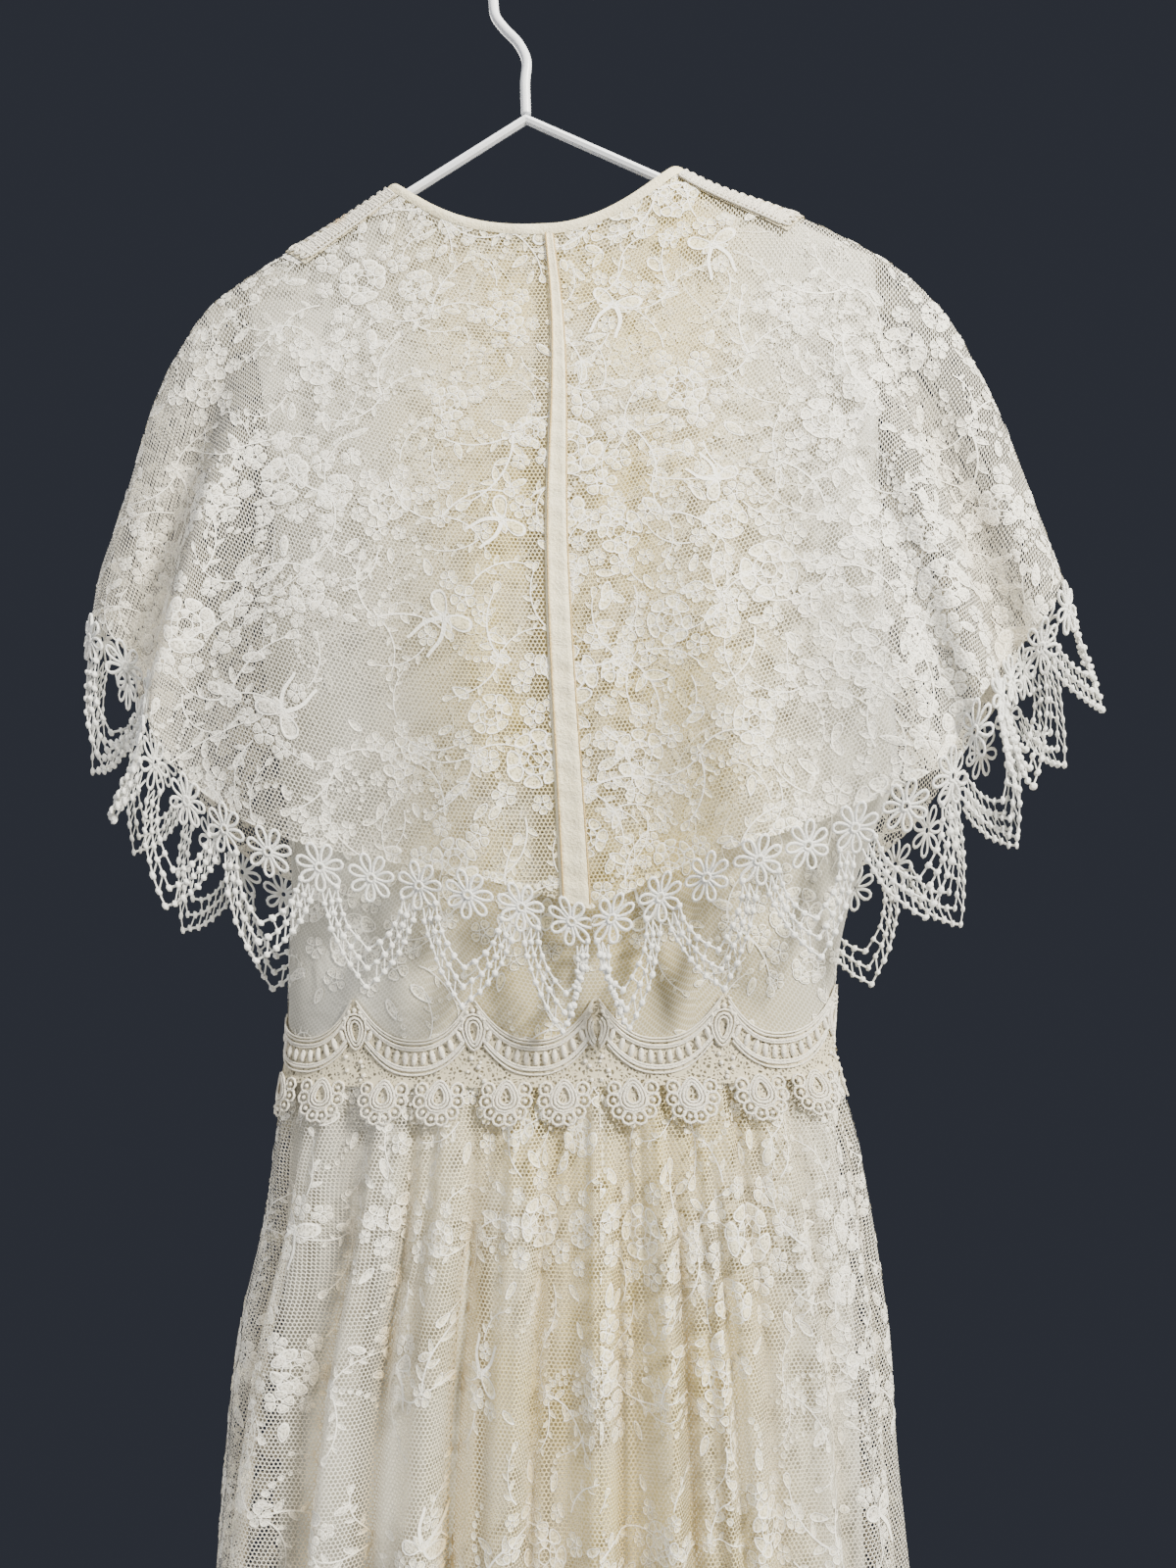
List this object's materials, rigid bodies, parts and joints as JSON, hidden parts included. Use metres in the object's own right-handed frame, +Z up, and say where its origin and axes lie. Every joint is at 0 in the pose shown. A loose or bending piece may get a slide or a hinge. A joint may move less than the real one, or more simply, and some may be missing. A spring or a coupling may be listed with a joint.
{
  "type": "wedding dress on hanger",
  "caption": "Long sleeveless lace wedding dress with a capelet edged in daisy guipure, a guipure waist band and a gathered lined skirt, on a thin coated wire hanger.",
  "frame": {"origin": "inside of the hook's top, where it rests on a rail", "axes": "+Z up, +Y out of the dress's back, +X towards the wearer's left"},
  "size_m": [0.5295, 0.1572, 1.6132],
  "materials": {
    "net_lace": "matte net lace",
    "lined_lace": "lace over satin",
    "satin_lining": "soft satin",
    "white_guipure": "matte thread",
    "cream_guipure": "slightly glossy thread",
    "yellowed_facing": "satin",
    "coated_wire": "smooth plastic coating"
  },
  "bodies": {
    "root": {"bodice_back_left": "lined_lace", "bodice_back_right": "lined_lace", "bodice_front": "lined_lace", "cape_back_left": "net_lace", "cape_back_right": "net_lace", "cape_edging_back_left": "white_guipure", "cape_edging_back_right": "white_guipure", "cape_edging_front": "white_guipure", "cape_front": "net_lace", "hanger_arms": "coated_wire", "hanger_bar": "coated_wire", "hanger_hook": "coated_wire", "lining_back_left": "satin_lining", "lining_back_right": "satin_lining", "lining_front": "satin_lining", "neck_binding_back_left": "yellowed_facing", "neck_binding_back_right": "yellowed_facing", "neck_binding_front": "yellowed_facing", "shoulder_trim_back_left": "cream_guipure", "shoulder_trim_back_right": "cream_guipure", "shoulder_trim_front_left": "cream_guipure", "shoulder_trim_front_right": "cream_guipure", "skirt_back_left": "net_lace", "skirt_back_right": "net_lace", "skirt_front": "net_lace", "waist_band_back_left": "cream_guipure", "waist_band_back_right": "cream_guipure", "waist_band_front": "cream_guipure", "zip_lap": "yellowed_facing"}
  },
  "joints": []
}
